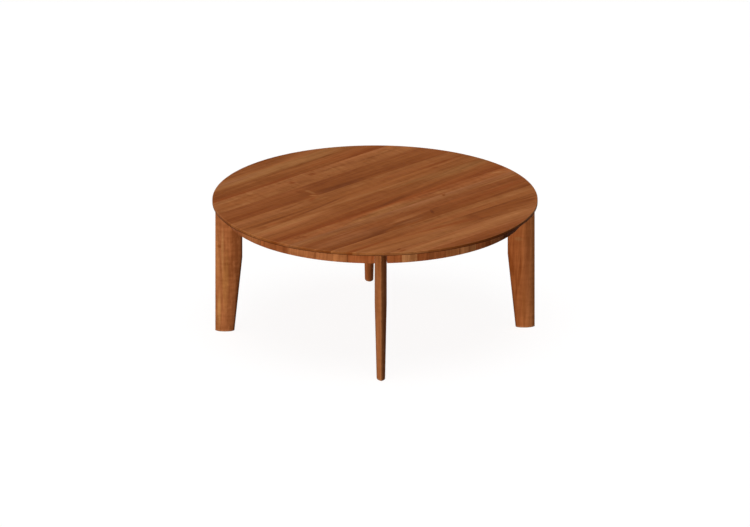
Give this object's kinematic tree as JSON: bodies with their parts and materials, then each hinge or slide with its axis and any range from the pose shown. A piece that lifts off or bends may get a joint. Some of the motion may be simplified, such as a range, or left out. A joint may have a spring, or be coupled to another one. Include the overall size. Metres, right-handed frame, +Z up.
{
  "type": "folding low table",
  "caption": "Round low wooden table with a thin bevelled rim, a set-back ring apron and radial fin legs that fold in flat under the top.",
  "frame": {"origin": "on the floor at the centre of the table, between the four feet", "axes": "+Z up; the legs stand on +X (right), +Y (back), -X (left) and -Y (front)"},
  "size_m": [0.9, 0.8998, 0.378],
  "materials": {
    "top_wood": "satin oiled reddish-brown hardwood",
    "apron_wood": "satin oiled reddish-brown hardwood",
    "leg_wood": "satin oiled reddish-brown hardwood",
    "bush_plastic": "natural nylon",
    "bracket_steel": "zinc-plated pressed steel",
    "bolt_steel": "zinc-plated"
  },
  "bodies": {
    "tabletop": {"apron_back_left": "apron_wood", "apron_back_right": "apron_wood", "apron_front_left": "apron_wood", "apron_front_right": "apron_wood", "back_bracket_left": "bracket_steel", "back_bracket_right": "bracket_steel", "bracket_screws": "bolt_steel", "friction_washers": "bolt_steel", "front_bracket_left": "bracket_steel", "front_bracket_right": "bracket_steel", "left_bracket_left": "bracket_steel", "left_bracket_right": "bracket_steel", "lock_nuts": "bolt_steel", "pivot_bolts": "bolt_steel", "right_bracket_left": "bracket_steel", "right_bracket_right": "bracket_steel", "top_board_01": "top_wood", "top_board_02": "top_wood", "top_board_03": "top_wood", "top_board_04": "top_wood", "top_board_05": "top_wood", "top_board_06": "top_wood", "top_board_07": "top_wood", "top_board_08": "top_wood", "top_board_09": "top_wood", "top_board_10": "top_wood", "top_board_11": "top_wood", "top_board_12": "top_wood", "top_board_13": "top_wood", "top_board_14": "top_wood", "top_board_15": "top_wood", "top_board_16": "top_wood"},
    "right_leg": {"right_leg": "leg_wood", "right_sleeve_bush": "bush_plastic"},
    "back_leg": {"back_leg": "leg_wood", "back_sleeve_bush": "bush_plastic"},
    "left_leg": {"left_leg": "leg_wood", "left_sleeve_bush": "bush_plastic"},
    "front_leg": {"front_leg": "leg_wood", "front_sleeve_bush": "bush_plastic"}
  },
  "joints": [
    {"name": "right_leg_fold", "type": "hinge", "parent": "tabletop", "child": "right_leg", "pos_m": [0.3847, 0, 0.34], "axis": [0, 1, 0], "range_deg": [0, 90]},
    {"name": "back_leg_fold", "type": "hinge", "parent": "tabletop", "child": "back_leg", "pos_m": [0, 0.3847, 0.34], "axis": [-1, 0, 0], "range_deg": [0, 90]},
    {"name": "left_leg_fold", "type": "hinge", "parent": "tabletop", "child": "left_leg", "pos_m": [-0.3847, 0, 0.34], "axis": [0, -1, 0], "range_deg": [0, 90]},
    {"name": "front_leg_fold", "type": "hinge", "parent": "tabletop", "child": "front_leg", "pos_m": [0, -0.3847, 0.34], "axis": [1, 0, 0], "range_deg": [0, 90]}
  ]
}
